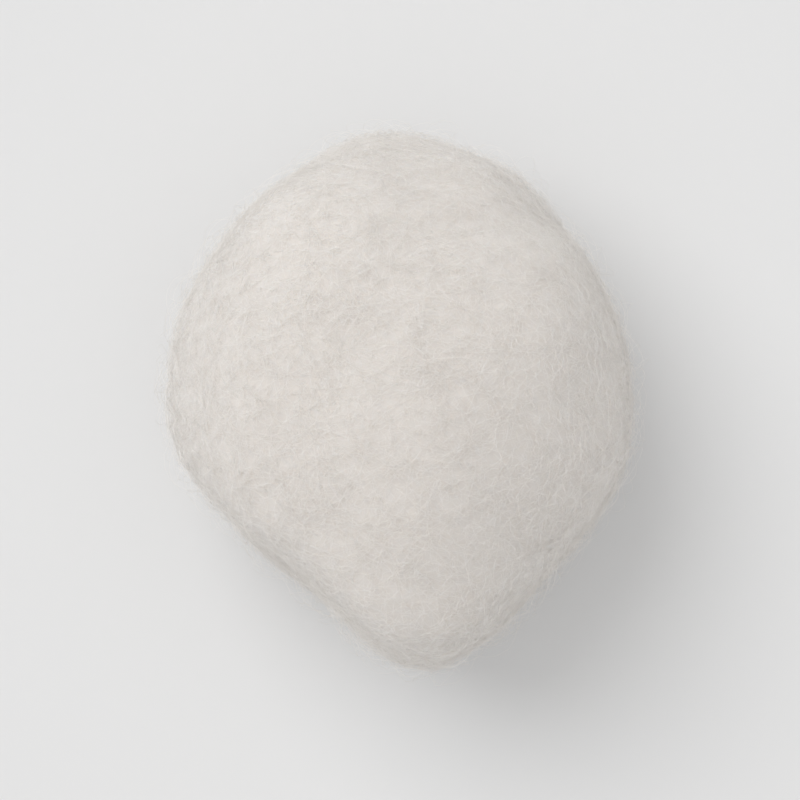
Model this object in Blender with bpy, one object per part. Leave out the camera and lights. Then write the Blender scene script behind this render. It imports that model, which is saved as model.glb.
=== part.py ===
"""A cotton ball: one length of carded cotton sliver, rolled up, with soft flats pressed into it.

Metres, +Z up. The ball lies on the plane Z = 0, on the small flat that its own softness gives it,
with the origin under the middle of its outline. The roll's axis runs along Y, with its -Y end lifted.
"""

import math

import bmesh
import bpy
from mathutils import Matrix, Vector, noise

# The roll as it comes off the rollers, before anything presses it: a plump barrel
ROLL_DIAMETER = 0.0356
ROLL_LENGTH = 0.0427
ROLL_FULLNESS = 2.35
ROLL_LIFT = math.radians(12.0)

# The sliver's outer edge: one line from end to end that winds into a whorl at both ends. It stands
# proud on one side and leaves a crease on the other. In a whorl its width is at most this share of
# the way from one turn to the next.
EDGE_RISE = 0.00022
EDGE_WIDTH = 0.0022
EDGE_SHARE = 0.2
EDGE_START = math.radians(118.0)
EDGE_SLANT = math.radians(24.0)
EDGE_WAVE = math.radians(7.0)
EDGE_WAVES = 3.0
WHORL_ANGLE = math.radians(54.0)
WHORL_EASING = math.radians(24.0)
WHORL_TURN = math.radians(27.0)
WHORL_EYE = math.radians(20.0)

# The tucked ends, with the gathers that run into them
TUCK_DEPTH = 0.0005
TUCK_ANGLE = math.radians(19.0)
GATHER_DEPTH = 0.00014
GATHER_COUNT = 6
GATHER_UNEVENNESS = 1.3
GATHER_ANGLE = math.radians(34.0)
GATHER_ANGLE_SPREAD = math.radians(16.0)

# The soft flats pressed into it: where each one faces, as an azimuth from +X and an elevation,
# and how far from the middle it lies, as a share of the roll's radius
FLATS = (
    (math.radians(45.0), math.radians(6.0), 1.080),
    (math.radians(134.0), math.radians(-4.0), 1.110),
    (math.radians(80.0), math.radians(44.0), 1.010),
    (math.radians(205.0), math.radians(54.0), 0.985),
    (math.radians(330.0), math.radians(52.0), 0.985),
    (math.radians(50.0), math.radians(-46.0), 0.985),
    (math.radians(170.0), math.radians(-48.0), 0.975),
    (math.radians(276.0), math.radians(-46.0), 1.000),
    (math.radians(110.0), math.radians(86.0), 0.960),
    (math.radians(268.0), math.radians(36.0), 1.280),
    (math.radians(273.0), math.radians(-14.0), 1.360),
)
FLAT_SOFTNESS = 0.0056

# How often the surface is evened out where flats meet
EVENING_PASSES = 6
EVENING_SHARE = 0.5

# The tail of the sliver, tucked in under the lifted end: the form is drawn out here before it is
# pressed, so that the two flats beside it meet in a round corner of this radius
CORNER_FLATS = (
    (math.radians(228.0), math.radians(2.0), 0.842),
    (math.radians(317.0), math.radians(0.0), 0.945),
)
CORNER_RADIUS = 0.0034
CORNER_AZIMUTH = math.radians(275.0)
CORNER_ELEVATION = math.radians(4.0)
CORNER_HEIGHT = 0.0080
CORNER_ANGLE = math.radians(28.0)

# The uneven swelling of the loose cotton
SWELL_HEIGHT = 0.0006
SWELL_LENGTH = 0.0150
TUFT_HEIGHT = 0.00026
TUFT_LENGTH = 0.0070
TUFT_OFFSET = Vector((7.0, 3.0, 5.0))

# The flat that it rests on, which runs out a little further at its soft corners
REST_DEPTH = 0.0026
REST_SOFTNESS = 0.0010
REST_CORNERS = 4
REST_CORNER_DEPTH = 0.0003
REST_CORNER_TURN = math.radians(16.0)
REST_CORNER_FADE = 0.0040

# How finely the surface is divided: the steps along each side of the cube that it is drawn out from
STEPS = 27

COTTON_COLOUR = (0.80, 0.765, 0.72, 1.0)
COTTON_ROUGHNESS = 0.95


def clear_scene():
    for obj in list(bpy.data.objects):
        bpy.data.objects.remove(obj, do_unlink=True)


def smooth_step(low, high, value):
    """A rise from 0 at low to 1 at high, level at both."""
    share = min(max((value - low) / (high - low), 0.0), 1.0)
    return share * share * (3.0 - 2.0 * share)


def bell(distance, reach):
    """1 at no distance, falling off to a third at this reach."""
    return math.exp(-((distance / reach) ** 2))


def facing(azimuth, elevation):
    """The direction that has this azimuth from +X and this elevation."""
    return Vector((
        math.cos(azimuth) * math.cos(elevation),
        math.sin(azimuth) * math.cos(elevation),
        math.sin(elevation),
    ))


def roll_frame():
    """The roll's own axes as a rotation: Z along the roll, out of its lifted -Y end."""
    return Matrix.Rotation(math.pi / 2 - ROLL_LIFT, 3, "X")


def round_form(direction):
    """The loose roll's surface in one direction of its own axes."""
    across = math.hypot(direction.x, direction.y) / (ROLL_DIAMETER / 2)
    along = abs(direction.z) / (ROLL_LENGTH / 2)
    return direction / (across**ROLL_FULLNESS + along**ROLL_FULLNESS) ** (1.0 / ROLL_FULLNESS)


def softly_past(value, softness):
    """The value where it is well above nought and nought where it is well below, with a soft bend."""
    if value <= -softness:
        return 0.0
    if value < softness:
        return (value + softness) ** 2 / (4.0 * softness)
    return value


def past_flat(point, flat):
    """Which way a flat faces, and how far the point stands past it."""
    azimuth, elevation, share = flat
    direction = facing(azimuth, elevation)
    return direction, point.dot(direction) - share * ROLL_DIAMETER / 2


def pressed_form(point):
    """The point, moved back from each flat that it stands past."""
    for flat in FLATS:
        direction, past = past_flat(point, flat)
        point = point - direction * softly_past(past, FLAT_SOFTNESS)
    return point


def pressed_corner(point):
    """The point, moved back from the two flats at the corner and from the round bend between them."""
    outward = Vector()
    for flat in CORNER_FLATS:
        direction, past = past_flat(point, flat)
        outward += direction * max(past + CORNER_RADIUS, 0.0)
    past_bend = outward.length - CORNER_RADIUS
    return point - outward.normalized() * softly_past(past_bend, CORNER_RADIUS)


def edge_turns(from_end, side):
    """Where the sliver's edge lies, in turns round the roll, at this angle from one of its ends."""
    along = side * (math.pi / 2 - from_end)
    angle = EDGE_START + EDGE_SLANT * along + EDGE_WAVE * math.sin(EDGE_WAVES * along)
    into_whorl = max(WHORL_ANGLE - from_end, 0.0)
    wound = into_whorl**2 / (2.0 * WHORL_EASING * WHORL_TURN)
    if into_whorl > WHORL_EASING:
        wound = (into_whorl - WHORL_EASING / 2) / WHORL_TURN
    return angle / (2.0 * math.pi) + side * wound


def turn_spacing(from_end, side):
    """How far apart two turns of the sliver lie on the surface, measured across its edge."""
    nudge = 1e-3
    slope = (edge_turns(from_end + nudge, side) - edge_turns(from_end - nudge, side)) / (2 * nudge)
    round_slope = 1.0 / (2.0 * math.pi * max(math.sin(from_end), nudge))
    return ROLL_DIAMETER / 2 / math.hypot(slope, round_slope)


def edge_height(round_angle, from_end, side):
    """The lip and the crease along the sliver's edge."""
    spacing = turn_spacing(from_end, side)
    turns = round_angle / (2.0 * math.pi) - edge_turns(from_end, side)
    past_edge = (turns - round(turns)) * spacing
    width = min(EDGE_WIDTH, EDGE_SHARE * spacing)
    lip = past_edge / width * math.exp(0.5 - (past_edge / width) ** 2 / 2)
    return EDGE_RISE * lip * smooth_step(0.0, WHORL_EYE, from_end)


def end_height(round_angle, from_end, side):
    """The height that the tucked end takes away, with the gathers that run into it."""
    tuck = -TUCK_DEPTH * bell(from_end, TUCK_ANGLE)
    uneven = GATHER_UNEVENNESS * math.sin(round_angle + side)
    gather = math.cos(GATHER_COUNT * round_angle + uneven)
    return tuck + GATHER_DEPTH * gather * bell(from_end - GATHER_ANGLE, GATHER_ANGLE_SPREAD)


def swelling(point):
    """The uneven height of loose cotton, broad swells with small tufts on them."""
    swell = noise.noise(point / SWELL_LENGTH)
    tuft = noise.noise(point / TUFT_LENGTH + TUFT_OFFSET)
    return SWELL_HEIGHT * swell + TUFT_HEIGHT * tuft


def pressed_roll(outward, frame):
    """The roll's surface in one direction of the world's axes, drawn out at its corner and pressed."""
    to_corner = outward.angle(facing(CORNER_AZIMUTH, CORNER_ELEVATION))
    drawn_out = outward * CORNER_HEIGHT * bell(to_corner, CORNER_ANGLE)
    point = frame @ round_form(frame.transposed() @ outward) + drawn_out
    return pressed_form(pressed_corner(point))


def relief_height(direction, point):
    """What the cotton adds to or takes from the form in one direction of the roll's own axes."""
    side = 1.0 if direction.z >= 0.0 else -1.0
    from_end = math.acos(min(abs(direction.z), 1.0))
    round_angle = math.atan2(direction.y, direction.x)
    edge = edge_height(round_angle, from_end, side)
    return edge + end_height(round_angle, from_end, side) + swelling(point)


def even_out(mesh):
    """Rounds off the lines where flats meet, which loose cotton doesn't hold."""
    for _ in range(EVENING_PASSES):
        bmesh.ops.smooth_vert(
            mesh, verts=mesh.verts, factor=EVENING_SHARE, use_axis_x=True, use_axis_y=True, use_axis_z=True)


def settle(mesh):
    """Squashes the underside flat, as the soft ball does where it lies."""
    plane = min(vert.co.z for vert in mesh.verts) + REST_DEPTH
    under = [vert.co for vert in mesh.verts if vert.co.z < plane]
    middle = sum(under, Vector()) / len(under)
    for vert in mesh.verts:
        above = vert.co.z - plane
        turn = math.atan2(vert.co.y - middle.y, vert.co.x - middle.x) - REST_CORNER_TURN
        corner = REST_CORNER_DEPTH * math.cos(REST_CORNERS * turn)
        above -= corner * (1.0 - smooth_step(0.0, REST_CORNER_FADE, above))
        vert.co.z = softly_past(above, REST_SOFTNESS)


def centre_over_origin(mesh):
    """Brings the middle of the ball's outline, seen from above, over the origin."""
    across = [vert.co.x for vert in mesh.verts]
    along = [vert.co.y for vert in mesh.verts]
    middle = Vector(((min(across) + max(across)) / 2, (min(along) + max(along)) / 2, 0.0))
    bmesh.ops.translate(mesh, verts=mesh.verts, vec=-middle)


def merge_rest_flat(mesh):
    """Makes the faces that lie on the plane one face."""
    lying = [face for face in mesh.faces if all(vert.co.z == 0.0 for vert in face.verts)]
    bmesh.ops.dissolve_faces(mesh, faces=lying)


def cotton_material():
    material = bpy.data.materials.new("cotton")
    material.use_nodes = True
    shader = material.node_tree.nodes["Principled BSDF"]
    shader.inputs["Base Color"].default_value = COTTON_COLOUR
    shader.inputs["Roughness"].default_value = COTTON_ROUGHNESS
    shader.inputs["Metallic"].default_value = 0.0
    return material


def even_sphere(mesh):
    """A unit sphere of even quads, drawn out from a cube, with a face's middle at each end of the roll."""
    bmesh.ops.create_cube(mesh, size=2.0)
    bmesh.ops.subdivide_edges(mesh, edges=mesh.edges, cuts=STEPS - 1, use_grid_fill=True)
    for vert in mesh.verts:
        even = [math.tan(coordinate * math.pi / 4) for coordinate in vert.co]
        vert.co = Vector(even).normalized()


def cotton_ball():
    """The whole ball in one piece."""
    frame = roll_frame()
    mesh = bmesh.new()
    even_sphere(mesh)
    directions = [vert.co.copy() for vert in mesh.verts]
    for vert, direction in zip(mesh.verts, directions):
        vert.co = pressed_roll(frame @ direction, frame)
    even_out(mesh)
    for vert, direction in zip(mesh.verts, directions):
        vert.co += frame @ direction * relief_height(direction, vert.co)
    settle(mesh)
    centre_over_origin(mesh)
    merge_rest_flat(mesh)
    bmesh.ops.recalc_face_normals(mesh, faces=mesh.faces)
    data = bpy.data.meshes.new("cotton_ball")
    mesh.to_mesh(data)
    mesh.free()
    data.shade_smooth()
    data.materials.append(cotton_material())
    ball = bpy.data.objects.new("cotton_ball", data)
    bpy.context.scene.collection.objects.link(ball)
    return ball


clear_scene()
cotton_ball()
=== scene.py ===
"""A cotton ball, seen from straight above: a wound body, and the fibres that lie and stand on it."""

import math

import bmesh
import bpy
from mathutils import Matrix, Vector, noise


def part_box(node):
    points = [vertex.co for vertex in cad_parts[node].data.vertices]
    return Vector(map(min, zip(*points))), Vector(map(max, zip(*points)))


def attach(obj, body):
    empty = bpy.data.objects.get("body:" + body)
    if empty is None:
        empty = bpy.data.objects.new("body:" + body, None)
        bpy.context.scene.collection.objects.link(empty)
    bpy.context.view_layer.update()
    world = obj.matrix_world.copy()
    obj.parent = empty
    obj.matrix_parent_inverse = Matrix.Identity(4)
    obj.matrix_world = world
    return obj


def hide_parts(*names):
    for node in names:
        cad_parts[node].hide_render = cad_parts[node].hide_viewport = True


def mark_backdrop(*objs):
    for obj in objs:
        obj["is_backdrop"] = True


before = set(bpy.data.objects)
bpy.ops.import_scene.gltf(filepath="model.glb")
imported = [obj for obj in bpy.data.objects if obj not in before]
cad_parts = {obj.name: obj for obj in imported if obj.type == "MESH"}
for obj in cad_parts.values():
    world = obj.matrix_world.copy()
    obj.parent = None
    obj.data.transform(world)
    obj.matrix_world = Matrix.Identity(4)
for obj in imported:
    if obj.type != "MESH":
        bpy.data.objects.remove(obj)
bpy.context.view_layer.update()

# The roll, as the solid has it: its axis runs along Y and comes up a little at the -Y end
ROLL_LIFT = math.radians(12.0)
BALL_LOW, BALL_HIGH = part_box("cotton_ball")
BALL_MIDDLE = (BALL_LOW + BALL_HIGH) / 2
ROLL_AXIS = Vector((0.0, -math.cos(ROLL_LIFT), math.sin(ROLL_LIFT)))
BALL_RADIUS = (BALL_HIGH.x - BALL_LOW.x) / 2

# The body's mesh, with its relief from broad to fine
MERGE_DISTANCE = 1e-6
BODY_VOXEL = 0.00025
BODY_SMOOTHING = 8
BODY_SMOOTHING_SHARE = 0.5
CLUMP_HEIGHT = 0.00008
CLUMP_LENGTH = 0.0066
TUFT_HEIGHT = 0.00005
TUFT_LENGTH = 0.0026
TUFT_PLACE = Vector((3.1, 7.7, 1.9))
FLUFF_HEIGHT = 0.00005
FLUFF_LENGTH = 0.00085
FLUFF_PLACE = Vector((8.3, 2.2, 6.4))
STREAK_HEIGHT = 0.00005
STREAK_LENGTH = 0.0050
STREAK_WIDTH = 0.0011
REST_BLEND = 0.0015

# What a layer of fibres is told
FIBRE_INPUTS = (
    ("Surface", "NodeSocketGeometry"),
    ("Count", "NodeSocketFloat"),
    ("Seed", "NodeSocketInt"),
    ("Least Length", "NodeSocketFloat"),
    ("Most Length", "NodeSocketFloat"),
    ("Diameter", "NodeSocketFloat"),
    ("Pieces", "NodeSocketInt"),
    ("Turn Spread", "NodeSocketFloat"),
    ("Lean", "NodeSocketFloat"),
    ("Lift", "NodeSocketFloat"),
    ("Rise", "NodeSocketFloat"),
    ("Arch", "NodeSocketFloat"),
    ("Bow", "NodeSocketFloat"),
    ("Crimp", "NodeSocketFloat"),
    ("Crimp Length", "NodeSocketFloat"),
    ("Cells", "NodeSocketFloat"),
    ("Material", "NodeSocketMaterial"),
)

# The layers. Lean, Rise, Arch and Bow are shares of a fibre's length, and Turn_Spread is in radians
FIBRE_LAYERS = {
    "wound_fibres": dict(
        Count=2000, Seed=3, Least_Length=0.004, Most_Length=0.010, Diameter=0.000022, Pieces=6,
        Turn_Spread=0.9, Lean=1.0, Lift=0.00012, Rise=0.0, Arch=0.02, Bow=0.16,
        Crimp=0.00022, Crimp_Length=0.0019),
    "web_fibres": dict(
        Count=2800, Seed=5, Least_Length=0.0025, Most_Length=0.007, Diameter=0.000020, Pieces=6,
        Turn_Spread=1.57, Lean=1.0, Lift=0.00030, Rise=0.0, Arch=0.05, Bow=0.22,
        Crimp=0.00024, Crimp_Length=0.0016),
    "fuzz_fibres": dict(
        Count=9400, Seed=7, Least_Length=0.0008, Most_Length=0.0022, Diameter=0.000024, Pieces=3,
        Turn_Spread=1.57, Lean=0.7, Lift=0.0, Rise=0.40, Arch=0.14, Bow=0.34,
        Crimp=0.00014, Crimp_Length=0.0009),
    "stray_fibres": dict(
        Count=2200, Seed=9, Least_Length=0.0025, Most_Length=0.0070, Diameter=0.000018, Pieces=7,
        Turn_Spread=1.57, Lean=0.8, Lift=0.0, Rise=0.08, Arch=0.26, Bow=0.35,
        Crimp=0.00030, Crimp_Length=0.0019),
    "down_fibres": dict(
        Count=13500, Seed=13, Least_Length=0.0005, Most_Length=0.0013, Diameter=0.000026, Pieces=2,
        Turn_Spread=1.57, Lean=0.6, Lift=0.0, Rise=0.55, Arch=0.16, Bow=0.40,
        Crimp=0.00010, Crimp_Length=0.0008),
}

# What all fibres share
SEED_STEPS = {"turn": 0, "flip": 11, "lift": 21, "rise": 31, "bow": 41, "length": 51}
SWING_SPACING = 7.31
SWING_GAIN = 4.0
RISE_POWER = 1.4
LEAST_STAND = 0.35
RIPPLE_SHARE = 0.5
FLOOR_GAP = 0.00002
FIBRE_SIDES = 3
TIP_SHARE = 0.16
TIP_THINNESS = 0.35

# Each piece's own map: a square cell for each fibre, with some to spare, as chance may scatter more
BAKE_MAP = "OFBake"
CELL_MARGIN = 0.12
CELL_SPARE = 1.06

# Cotton colours, from the shade between fibres to the fibres that catch the light
COTTON_PAINTED_SHADE = (0.80, 0.758, 0.715, 1.0)
COTTON_BODY = (0.83, 0.79, 0.75, 1.0)
COTTON_FIBRE = (0.93, 0.90, 0.865, 1.0)
COTTON_PALE = (0.95, 0.925, 0.895, 1.0)
BODY_TONES = (0.25, 0.62)
FIBRE_TONES = (0.3, 0.7)
FIBRE_TONE_LENGTH = 0.0016

# The patterns on the body
CLOUD_LENGTH = 0.0045
CLOUD_DETAIL = 4.0
CLOUD_SHARE = 0.7
WEB_TURNS = ((0.3, 0.2, 0.4), (1.1, 0.5, 2.0), (0.4, 1.3, 1.2), (2.2, 0.9, 0.1))
WEB_LENGTH = 0.00009
WEB_STRETCH = 16.0
WEB_SHARPNESS = 9.0
WEB_HEIGHT = 0.00006

# The floor and the light
FLOOR_PALE = (0.79, 0.79, 0.79, 1.0)
# Painted falloff of light: the floor's tone far out from its middle
FLOOR_PAINTED_FALLOFF = (0.745, 0.745, 0.745, 1.0)
FLOOR_TONES = (0.25, 1.0)
FLOOR_FADE = 0.05
FLOOR_HALF = 3.0
KEY_STRENGTH = 1.25
KEY_SOFTNESS = math.radians(42.0)
KEY_AZIMUTH = math.radians(135.0)
KEY_ELEVATION = math.radians(55.0)
SKY_STRENGTH = 0.72

# The camera looks straight down, with +Y up in the picture
VIEW_DISTANCE = 0.60
VIEW_WIDTH = 0.062
SENSOR_WIDTH_MM = 36.0


def link_object(name, data):
    obj = bpy.data.objects.new(name, data)
    bpy.context.scene.collection.objects.link(obj)
    return obj


def plain_mesh(obj, name):
    """The object's evaluated mesh, as a new mesh of its own."""
    bpy.context.view_layer.update()
    graph = bpy.context.evaluated_depsgraph_get()
    mesh = bpy.data.meshes.new_from_object(obj.evaluated_get(graph), depsgraph=graph)
    mesh.name = name
    return mesh


# The wound body

def merged_copy(node):
    """A copy of a solid's mesh with its loose triangles joined up."""
    mesh = bmesh.new()
    mesh.from_mesh(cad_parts[node].data)
    bmesh.ops.remove_doubles(mesh, verts=mesh.verts, dist=MERGE_DISTANCE)
    data = bpy.data.meshes.new(node + "_copy")
    mesh.to_mesh(data)
    mesh.free()
    return data


def evenly_divided(data):
    """The same form in small even faces."""
    draft = link_object("body_draft", data)
    remesh = draft.modifiers.new("voxels", "REMESH")
    remesh.mode = "VOXEL"
    remesh.voxel_size = BODY_VOXEL
    smooth = draft.modifiers.new("smooth", "SMOOTH")
    smooth.factor = BODY_SMOOTHING_SHARE
    smooth.iterations = BODY_SMOOTHING
    mesh = plain_mesh(draft, "cotton_body")
    bpy.data.objects.remove(draft)
    return mesh


def wound_place(point):
    """A point in the roll's own axes. The third number is the way along the surface from its end."""
    from_middle = point - BALL_MIDDLE
    along = from_middle.dot(ROLL_AXIS)
    across = from_middle - ROLL_AXIS * along
    from_end = math.atan2(across.length, along)
    upward = ROLL_AXIS.cross(Vector((1, 0, 0)))
    return Vector((across.x, across.dot(upward), from_end * BALL_RADIUS))


def cotton_relief(point):
    """How far loose cotton stands up or sinks in: clumps, tufts, fluff, streaks along the winding."""
    clump = noise.noise(point / CLUMP_LENGTH)
    tuft = noise.noise(point / TUFT_LENGTH + TUFT_PLACE)
    fluff = noise.noise(point / FLUFF_LENGTH + FLUFF_PLACE)
    place = wound_place(point)
    streak = noise.noise(Vector((
        place.x / STREAK_LENGTH,
        place.y / STREAK_LENGTH,
        place.z / STREAK_WIDTH,
    )))
    return CLUMP_HEIGHT * clump + TUFT_HEIGHT * tuft + FLUFF_HEIGHT * fluff + STREAK_HEIGHT * streak


def roughen(mesh):
    """Raises the relief, which fades out towards the flat that the ball rests on."""
    moves = []
    for vertex in mesh.vertices:
        fade = min(max(vertex.co.z / REST_BLEND, 0.0), 1.0)
        moves.append(vertex.normal * cotton_relief(vertex.co) * fade)
    for vertex, move in zip(mesh.vertices, moves):
        vertex.co += move
        vertex.co.z = max(vertex.co.z, 0.0)
    mesh.update()


def cotton_body():
    mesh = evenly_divided(merged_copy("cotton_ball"))
    roughen(mesh)
    mesh.shade_smooth()
    return link_object("cotton_body", mesh)


# Node trees

def add_node(tree, kind, **settings):
    node = tree.nodes.new(kind)
    for name, value in settings.items():
        setattr(node, name, value)
    return node


def socket_named(sockets, name):
    """The socket of this name that the node's settings leave in use."""
    return next(socket for socket in sockets if socket.name == name and socket.enabled)


def feed(tree, socket, value):
    """Links a socket's value, or sets it where it is a plain one."""
    if isinstance(value, bpy.types.NodeSocket):
        tree.links.new(value, socket)
    else:
        socket.default_value = value


def put(tree, node, **values):
    """Feeds a node's inputs by name, with underscores for spaces."""
    for name, value in values.items():
        feed(tree, socket_named(node.inputs, name.replace("_", " ")), value)
    return node


def put_in_order(tree, node, values):
    """Feeds a node's inputs from the first one on."""
    for socket, value in zip(node.inputs, values):
        feed(tree, socket, value)
    return node


def calculate(tree, operation, *values):
    node = add_node(tree, "ShaderNodeMath", operation=operation)
    return put_in_order(tree, node, values).outputs[0]


def plus(tree, total, *others):
    for value in others:
        total = calculate(tree, "ADD", total, value)
    return total


def minus(tree, value, taken):
    return calculate(tree, "SUBTRACT", value, taken)


def times(tree, product, *others):
    for value in others:
        product = calculate(tree, "MULTIPLY", product, value)
    return product


def divided(tree, value, divisor):
    return calculate(tree, "DIVIDE", value, divisor)


def combine(tree, operation, *values):
    """A step of vector arithmetic."""
    node = add_node(tree, "ShaderNodeVectorMath", operation=operation)
    put_in_order(tree, node, values)
    return node.outputs["Value" if operation == "LENGTH" else "Vector"]


def scaled(tree, vector, amount):
    node = add_node(tree, "ShaderNodeVectorMath", operation="SCALE")
    feed(tree, node.inputs[0], vector)
    put(tree, node, Scale=amount)
    return node.outputs["Vector"]


def vector_from(tree, x, y, z):
    node = add_node(tree, "ShaderNodeCombineXYZ")
    return put_in_order(tree, node, (x, y, z)).outputs[0]


# The fibres

def chance(tree, given, use, low=0.0, high=1.0):
    """A chance number for each fibre, from a seed that only this use of it has."""
    node = add_node(tree, "FunctionNodeRandomValue", data_type="FLOAT")
    put(tree, node, Min=low, Max=high, Seed=plus(tree, given["Seed"], SEED_STEPS[use]))
    return socket_named(node.outputs, "Value")


def scattered_starts(tree, given):
    """The points where the fibres start, and which way is outward there."""
    area = add_node(tree, "GeometryNodeAttributeStatistic", data_type="FLOAT", domain="FACE")
    face_area = add_node(tree, "GeometryNodeInputMeshFaceArea").outputs[0]
    put(tree, area, Geometry=given["Surface"], Attribute=face_area)
    density = divided(tree, given["Count"], socket_named(area.outputs, "Sum"))
    scatter = add_node(tree, "GeometryNodeDistributePointsOnFaces", distribute_method="RANDOM")
    put(tree, scatter, Mesh=given["Surface"], Density=density, Seed=given["Seed"])
    return scatter.outputs["Points"], scatter.outputs["Normal"]


def fibre_heading(tree, given, start, outward):
    """Which way a fibre runs: round the roll, turned by a chance angle, and backwards or not."""
    from_middle = combine(tree, "SUBTRACT", start, tuple(BALL_MIDDLE))
    round_roll = combine(tree, "CROSS_PRODUCT", tuple(ROLL_AXIS), from_middle)
    sideways = combine(tree, "NORMALIZE", combine(tree, "CROSS_PRODUCT", outward, round_roll))
    level = combine(tree, "CROSS_PRODUCT", sideways, outward)
    spread = given["Turn Spread"]
    turn = chance(tree, given, "turn", times(tree, spread, -1.0), spread)
    backwards = calculate(tree, "ROUND", chance(tree, given, "flip"))
    heading = add_node(tree, "ShaderNodeVectorRotate", rotation_type="AXIS_ANGLE")
    angle = plus(tree, turn, times(tree, math.pi, backwards))
    put(tree, heading, Vector=level, Axis=outward, Angle=angle)
    return heading.outputs[0]


def kept_facts(tree, given, points, outward):
    """What each fibre keeps from its start, as the outputs of one node."""
    start = add_node(tree, "GeometryNodeInputPosition").outputs[0]
    length = chance(tree, given, "length", given["Least Length"], given["Most Length"])
    facts = {
        "start": ("VECTOR", start),
        "outward": ("VECTOR", outward),
        "heading": ("VECTOR", fibre_heading(tree, given, start, outward)),
        "length": ("FLOAT", length),
        "number": ("FLOAT", add_node(tree, "GeometryNodeInputIndex").outputs[0]),
        "lift": ("FLOAT", chance(tree, given, "lift")),
        "rise": ("FLOAT", chance(tree, given, "rise")),
        "bow": ("FLOAT", chance(tree, given, "bow")),
    }
    kept = add_node(tree, "GeometryNodeCaptureAttribute", domain="POINT")
    tree.links.new(points, kept.inputs["Geometry"])
    for name, (kind, value) in facts.items():
        kept.capture_items.new(kind, name)
        tree.links.new(value, kept.inputs[name])
    return kept.outputs


def straight_lines(tree, given, points):
    """The same straight line of points at each start."""
    line = add_node(tree, "GeometryNodeCurvePrimitiveLine", mode="POINTS")
    pointed = add_node(tree, "GeometryNodeResampleCurve", mode="COUNT")
    put(tree, pointed, Curve=line.outputs[0], Count=plus(tree, given["Pieces"], 1))
    placed = add_node(tree, "GeometryNodeInstanceOnPoints")
    put(tree, placed, Points=points, Instance=pointed.outputs[0])
    lines = add_node(tree, "GeometryNodeRealizeInstances")
    tree.links.new(placed.outputs[0], lines.inputs[0])
    return lines.outputs[0]


def fibre_swings(tree, given, fact, along):
    """Two slow swings along a fibre, from noise in which each fibre has a place of its own."""
    place = vector_from(
        tree,
        divided(tree, along, given["Crimp Length"]),
        times(tree, fact["number"], SWING_SPACING),
        given["Seed"],
    )
    wander = add_node(tree, "ShaderNodeTexNoise", noise_dimensions="3D")
    put(tree, wander, Vector=place, Scale=1.0, Detail=1.0)
    parts = add_node(tree, "ShaderNodeSeparateXYZ")
    tree.links.new(wander.outputs["Color"], parts.inputs[0])
    return [times(tree, minus(tree, part, 0.5), SWING_GAIN) for part in parts.outputs[:2]]


def laid_lines(tree, given, fact, lines, factor):
    """The lines laid along the surface, where each bows and swings aside, and lies, rises or arches."""
    along = times(tree, factor, fact["length"])
    swing_aside, swing_up = fibre_swings(tree, given, fact, along)
    # Nothing at both ends and one in the middle
    arc = times(tree, 4.0, times(tree, factor, minus(tree, 1.0, factor)))

    # The way over the surface
    bow_share = times(tree, given["Bow"], minus(tree, times(tree, fact["bow"], 2.0), 1.0))
    bow = times(tree, bow_share, arc, fact["length"])
    aside = plus(tree, bow, times(tree, swing_aside, given["Crimp"]))
    side = combine(tree, "CROSS_PRODUCT", fact["outward"], fact["heading"])
    ahead = scaled(tree, fact["heading"], times(tree, along, given["Lean"]))
    way = combine(tree, "ADD", ahead, scaled(tree, side, aside))
    level_place = combine(tree, "ADD", fact["start"], way)
    nearest = add_node(tree, "GeometryNodeProximity", target_element="FACES")
    put(tree, nearest, Geometry=given["Surface"], Sample_Position=level_place)

    # The height over the surface
    lying = times(tree, given["Lift"], fact["lift"])
    rising = times(tree, given["Rise"], calculate(tree, "POWER", factor, RISE_POWER))
    arching = times(tree, given["Arch"], arc)
    stand_share = plus(tree, LEAST_STAND, times(tree, 1.0 - LEAST_STAND, fact["rise"]))
    standing = times(tree, plus(tree, rising, arching), fact["length"], stand_share)
    ripple = times(tree, calculate(tree, "ABSOLUTE", swing_up), given["Crimp"])
    height = plus(tree, lying, standing, times(tree, RIPPLE_SHARE, ripple))
    surface_out = add_node(tree, "GeometryNodeSampleNearestSurface", data_type="FLOAT_VECTOR")
    normal = add_node(tree, "GeometryNodeInputNormal").outputs[0]
    put(tree, surface_out, Mesh=given["Surface"], Value=normal, Sample_Position=level_place)
    off_surface = scaled(tree, socket_named(surface_out.outputs, "Value"), height)

    place = combine(tree, "ADD", nearest.outputs["Position"], off_surface)
    above_floor = combine(tree, "MAXIMUM", place, (-1.0, -1.0, FLOOR_GAP))
    laid = add_node(tree, "GeometryNodeSetPosition")
    put(tree, laid, Geometry=lines, Position=above_floor)
    return laid.outputs[0]


def tapered_lines(tree, lines, factor):
    """The lines with a radius that falls off towards both tips."""
    to_tip = calculate(tree, "MINIMUM", factor, minus(tree, 1.0, factor))
    growth = (1.0 - TIP_THINNESS) / TIP_SHARE
    thickness = calculate(tree, "MINIMUM", 1.0, plus(tree, TIP_THINNESS, times(tree, to_tip, growth)))
    tapered = add_node(tree, "GeometryNodeSetCurveRadius")
    put(tree, tapered, Curve=lines, Radius=thickness)
    return tapered.outputs[0]


def keeping(tree, geometry, name, value):
    """A curve that keeps one number at each of its points, as the outputs of one node."""
    node = add_node(tree, "GeometryNodeCaptureAttribute", domain="POINT")
    node.capture_items.new("FLOAT", name)
    tree.links.new(geometry, node.inputs["Geometry"])
    tree.links.new(value, node.inputs[name])
    return node.outputs


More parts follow.
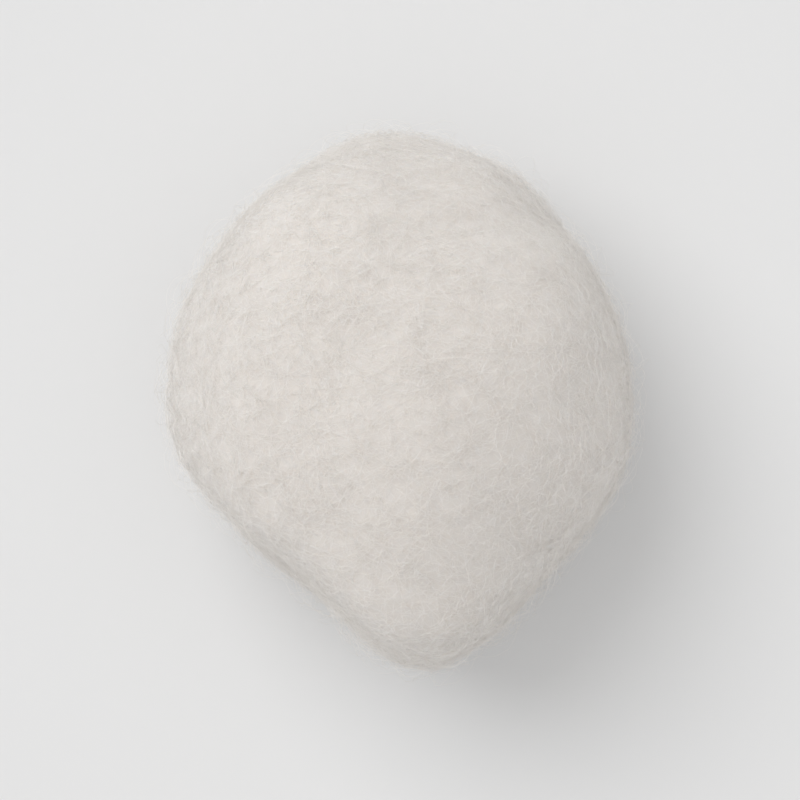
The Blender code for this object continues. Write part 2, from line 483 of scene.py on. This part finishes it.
def mapped_tubes(tree, given, fact, lines, factor):
    """A tube round each line, with a cell of the piece's own map for each fibre."""
    run = keeping(tree, lines, "run", factor)
    ring = add_node(tree, "GeometryNodeCurvePrimitiveCircle", mode="RADIUS")
    put(tree, ring, Resolution=FIBRE_SIDES, Radius=times(tree, given["Diameter"], 0.5))
    ring_factor = add_node(tree, "GeometryNodeSplineParameter").outputs["Factor"]
    around = keeping(tree, ring.outputs[0], "share", ring_factor)
    tubes = add_node(tree, "GeometryNodeCurveToMesh")
    put(tree, tubes, Curve=run["Geometry"], Profile_Curve=around["Geometry"], Fill_Caps=True)

    cells = given["Cells"]
    column = calculate(tree, "MODULO", fact["number"], cells)
    row = calculate(tree, "FLOOR", divided(tree, fact["number"], cells))
    cell_use = 1.0 - 2.0 * CELL_MARGIN
    across = plus(tree, column, plus(tree, CELL_MARGIN, times(tree, cell_use, run["run"])))
    up = plus(tree, row, plus(tree, CELL_MARGIN, times(tree, cell_use, around["share"])))
    place = vector_from(tree, divided(tree, across, cells), divided(tree, up, cells), 0.0)
    mapped = add_node(tree, "GeometryNodeStoreNamedAttribute", data_type="FLOAT2", domain="CORNER")
    put(tree, mapped, Geometry=tubes.outputs[0], Name=BAKE_MAP, Value=place)
    return mapped.outputs[0]


def fibre_tree():
    """Fibres on a surface, each along the winding or turned away from it."""
    tree = bpy.data.node_groups.new("fibres", "GeometryNodeTree")
    for name, kind in FIBRE_INPUTS:
        tree.interface.new_socket(name, in_out="INPUT", socket_type=kind)
    tree.interface.new_socket("Fibres", in_out="OUTPUT", socket_type="NodeSocketGeometry")
    given = add_node(tree, "NodeGroupInput").outputs
    points, outward = scattered_starts(tree, given)
    fact = kept_facts(tree, given, points, outward)
    lines = straight_lines(tree, given, fact["Geometry"])
    factor = add_node(tree, "GeometryNodeSplineParameter").outputs["Factor"]
    lines = laid_lines(tree, given, fact, lines, factor)
    lines = tapered_lines(tree, lines, factor)
    tubes = mapped_tubes(tree, given, fact, lines, factor)
    smooth = add_node(tree, "GeometryNodeSetShadeSmooth")
    tree.links.new(tubes, smooth.inputs[0])
    whole = add_node(tree, "GeometryNodeRealizeInstances")
    tree.links.new(smooth.outputs[0], whole.inputs[0])
    finished = add_node(tree, "GeometryNodeSetMaterial")
    put(tree, finished, Geometry=whole.outputs[0], Material=given["Material"])
    tree.links.new(finished.outputs[0], add_node(tree, "NodeGroupOutput").inputs[0])
    return tree


def fibre_piece(name, tree, surface, **settings):
    """A plain mesh of fibres that grow on a surface, with the tree's inputs given by name."""
    draft = link_object(name + "_draft", surface.data.copy())
    grow = draft.modifiers.new("fibres", "NODES")
    grow.node_group = tree
    inputs = [item for item in tree.interface.items_tree if item.in_out == "INPUT"]
    identifiers = {item.name: item.identifier for item in inputs}
    settings["Cells"] = float(math.ceil(math.sqrt(settings["Count"] * CELL_SPARE)))
    settings["Count"] = float(settings["Count"])
    for key, value in settings.items():
        grow[identifiers[key.replace("_", " ")]] = value
    piece = link_object(name, plain_mesh(draft, name))
    bpy.data.objects.remove(draft)
    return piece


# Materials

def principled(name):
    material = bpy.data.materials.new(name)
    material.use_nodes = True
    return material, material.node_tree, material.node_tree.nodes["Principled BSDF"]


def cotton_noise(tree, length, detail=2.0, stretch=(1.0, 1.0, 1.0), turn=(0.0, 0.0, 0.0)):
    """Noise on the piece's own coordinates, with features about this long, stretched and turned."""
    place = add_node(tree, "ShaderNodeTexCoord").outputs["Object"]
    mapping = add_node(tree, "ShaderNodeMapping", vector_type="TEXTURE")
    put(tree, mapping, Vector=place, Rotation=turn, Scale=stretch)
    pattern = add_node(tree, "ShaderNodeTexNoise")
    put(tree, pattern, Vector=mapping.outputs[0], Scale=1.0 / length, Detail=detail)
    return pattern.outputs["Fac"]


def between(tree, share, ends, *colours):
    """A colour that runs from one to the other as a share goes from the first end to the second."""
    ramp = add_node(tree, "ShaderNodeValToRGB")
    for element, end, colour in zip(ramp.color_ramp.elements, ends, colours):
        element.position = end
        element.color = colour
    feed(tree, ramp.inputs[0], share)
    return ramp.outputs["Color"]


def fibre_web(tree):
    """A tangle of fine lines: noise drawn out along a few directions, where it crosses its middle."""
    total = 0.0
    for turn in WEB_TURNS:
        streaks = cotton_noise(tree, WEB_LENGTH, 1.0, (WEB_STRETCH, 1.0, 1.0), turn)
        off_line = times(tree, calculate(tree, "ABSOLUTE", minus(tree, streaks, 0.5)), WEB_SHARPNESS)
        line = minus(tree, 1.0, calculate(tree, "MINIMUM", 1.0, off_line))
        total = calculate(tree, "MAXIMUM", total, line)
    return total


def body_material():
    """Packed loose cotton: soft light through it, cloudy, with a web of fine fibres, and painted shade
    between the fibres, darkest in the web's gaps and in cloudy patches.
    """
    material, tree, shader = principled("cotton_body")
    web = fibre_web(tree)
    cloudy = cotton_noise(tree, CLOUD_LENGTH, CLOUD_DETAIL)
    tone = plus(tree, times(tree, cloudy, CLOUD_SHARE), times(tree, web, 1.0 - CLOUD_SHARE))
    # Painted shade between fibres: darker away from the web's lines and in cloudy patches
    colour = between(tree, tone, BODY_TONES, COTTON_PAINTED_SHADE, COTTON_BODY)
    bump = add_node(tree, "ShaderNodeBump")
    put(tree, bump, Strength=0.6, Distance=WEB_HEIGHT, Height=web)
    put(tree, shader, Base_Color=colour, Normal=bump.outputs[0])
    put(tree, shader, Roughness=0.95, Specular_IOR_Level=0.15, Sheen_Weight=0.25, Sheen_Roughness=0.6)
    put(tree, shader, Subsurface_Weight=0.6, Subsurface_Scale=0.0014)
    put(tree, shader, Subsurface_Radius=(1.0, 0.92, 0.82))
    return material


def fibre_material():
    """Cotton fibres: pale and matte, and a little different from place to place."""
    material, tree, shader = principled("cotton_fibre")
    tone = cotton_noise(tree, FIBRE_TONE_LENGTH)
    colour = between(tree, tone, FIBRE_TONES, COTTON_FIBRE, COTTON_PALE)
    put(tree, shader, Base_Color=colour, Roughness=0.8, Specular_IOR_Level=0.2)
    return material


def floor_material():
    """A pale plain ground with a painted pool of light: a touch darker away from its middle."""
    material, tree, shader = principled("floor")
    place = add_node(tree, "ShaderNodeTexCoord").outputs["Object"]
    distance = times(tree, combine(tree, "LENGTH", place), 1.0 / FLOOR_FADE)
    colour = between(tree, distance, FLOOR_TONES, FLOOR_PALE, FLOOR_PAINTED_FALLOFF)
    put(tree, shader, Base_Color=colour, Roughness=1.0, Specular_IOR_Level=0.0)
    return material


# The surroundings

def add_floor():
    mesh = bmesh.new()
    bmesh.ops.create_grid(mesh, x_segments=1, y_segments=1, size=FLOOR_HALF)
    data = bpy.data.meshes.new("floor")
    mesh.to_mesh(data)
    mesh.free()
    data.materials.append(floor_material())
    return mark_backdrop(link_object("floor", data))


def add_light():
    sun = bpy.data.lights.new("key", "SUN")
    sun.energy = KEY_STRENGTH
    sun.angle = KEY_SOFTNESS
    key = link_object("key", sun)
    towards = Vector((
        math.cos(KEY_AZIMUTH) * math.cos(KEY_ELEVATION),
        math.sin(KEY_AZIMUTH) * math.cos(KEY_ELEVATION),
        math.sin(KEY_ELEVATION),
    ))
    key.rotation_euler = towards.to_track_quat("Z", "Y").to_euler()


def add_sky():
    """Even pale light from all round. The camera sees it in the floor's own tone."""
    world = bpy.data.worlds.new("sky")
    bpy.context.scene.world = world
    world.use_nodes = True
    tree = world.node_tree
    light = tree.nodes["Background"]
    put(tree, light, Color=(1.0, 1.0, 1.0, 1.0), Strength=SKY_STRENGTH)
    seen = add_node(tree, "ShaderNodeBackground")
    put(tree, seen, Color=FLOOR_PALE, Strength=1.0)
    choose = add_node(tree, "ShaderNodeMixShader")
    path = add_node(tree, "ShaderNodeLightPath")
    put_in_order(tree, choose, (path.outputs["Is Camera Ray"], light.outputs[0], seen.outputs[0]))
    tree.links.new(choose.outputs[0], tree.nodes["World Output"].inputs["Surface"])


def add_camera():
    data = bpy.data.cameras.new("camera")
    data.sensor_width = SENSOR_WIDTH_MM
    data.lens = SENSOR_WIDTH_MM * VIEW_DISTANCE / VIEW_WIDTH
    camera = link_object("camera", data)
    camera.location = (BALL_MIDDLE.x, BALL_MIDDLE.y, BALL_MIDDLE.z + VIEW_DISTANCE)
    bpy.context.scene.camera = camera


# The ball

def dress(piece, material):
    """Gives a finished piece its material and its place in the table of pieces."""
    if not piece.data.materials:
        piece.data.materials.append(material)
    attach(piece, "root")


def build_ball():
    body = cotton_body()
    fibres = fibre_tree()
    fibre_look = fibre_material()
    pieces = [
        fibre_piece(name, fibres, body, Material=fibre_look, **settings)
        for name, settings in FIBRE_LAYERS.items()
    ]
    dress(body, body_material())
    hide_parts("cotton_ball")
    for piece in pieces:
        dress(piece, fibre_look)


add_floor()
add_light()
add_sky()
add_camera()
build_ball()
bpy.context.scene.view_settings.view_transform = "Standard"
